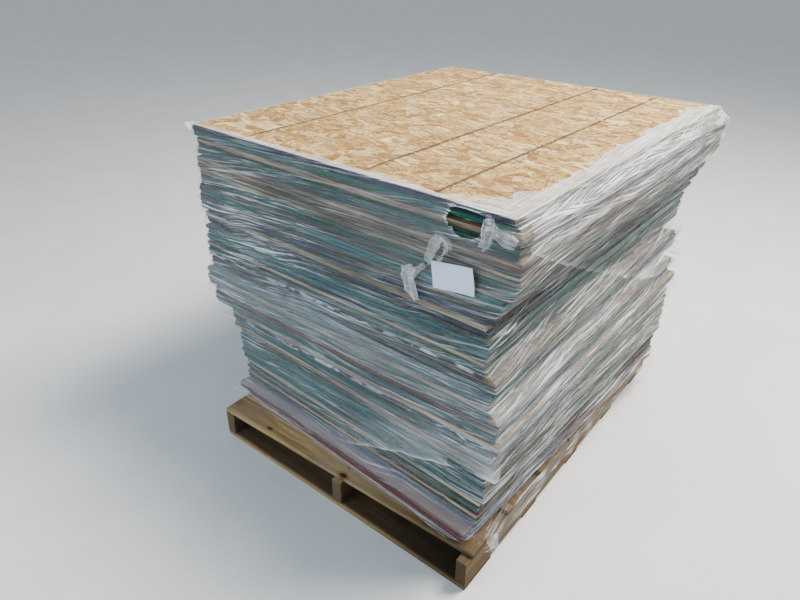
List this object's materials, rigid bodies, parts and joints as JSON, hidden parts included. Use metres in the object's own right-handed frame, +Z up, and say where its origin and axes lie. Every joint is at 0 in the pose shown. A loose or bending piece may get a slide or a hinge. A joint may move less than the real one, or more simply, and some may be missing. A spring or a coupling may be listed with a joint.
{
  "type": "wrapped stack of oriented strand board panels on a pallet",
  "caption": "Ragged stack of cut wood-strand sheets with painted edges, bound by stretch film on a two-way timber pallet, with a blank paper tag.",
  "frame": {"origin": "centre of the pallet's underside, on the middle bottom board", "axes": "+X along the fork entry end towards the near corner, +Y along the stringers away from that end, +Z up"},
  "size_m": [1.3087, 1.6299, 1.0649],
  "materials": {
    "pallet_wood": "rough sawn, weathered",
    "panel_face": "satin, pressed wood strands",
    "film": "glossy, wrinkled",
    "label_paper": "matte",
    "dusky_red_edge": "matte edge paint on pressed wood strands",
    "raw_edge": "matte, bare strands",
    "blue_edge": "matte edge paint on pressed wood strands",
    "red_brown_edge": "matte edge paint on pressed wood strands",
    "green_edge": "matte edge paint on pressed wood strands",
    "teal_edge": "matte edge paint on pressed wood strands",
    "navy_edge": "matte edge paint on pressed wood strands"
  },
  "bodies": {
    "root": {"blue_edge_panels": "blue_edge", "bottom_board_1": "pallet_wood", "bottom_board_2": "pallet_wood", "bottom_board_3": "pallet_wood", "bottom_board_4": "pallet_wood", "bottom_board_5": "pallet_wood", "deck_board_1": "pallet_wood", "deck_board_2": "pallet_wood", "deck_board_3": "pallet_wood", "deck_board_4": "pallet_wood", "deck_board_5": "pallet_wood", "deck_board_6": "pallet_wood", "deck_board_7": "pallet_wood", "dusky_red_edge_panels": "dusky_red_edge", "green_edge_panels": "green_edge", "label": "label_paper", "navy_edge_panels": "navy_edge", "raw_edge_panels": "raw_edge", "red_brown_edge_panels": "red_brown_edge", "stretch_film": "film", "stringer_left": "pallet_wood", "stringer_middle": "pallet_wood", "stringer_right": "pallet_wood", "teal_edge_panels": "teal_edge", "top_panel": "panel_face"}
  },
  "joints": []
}
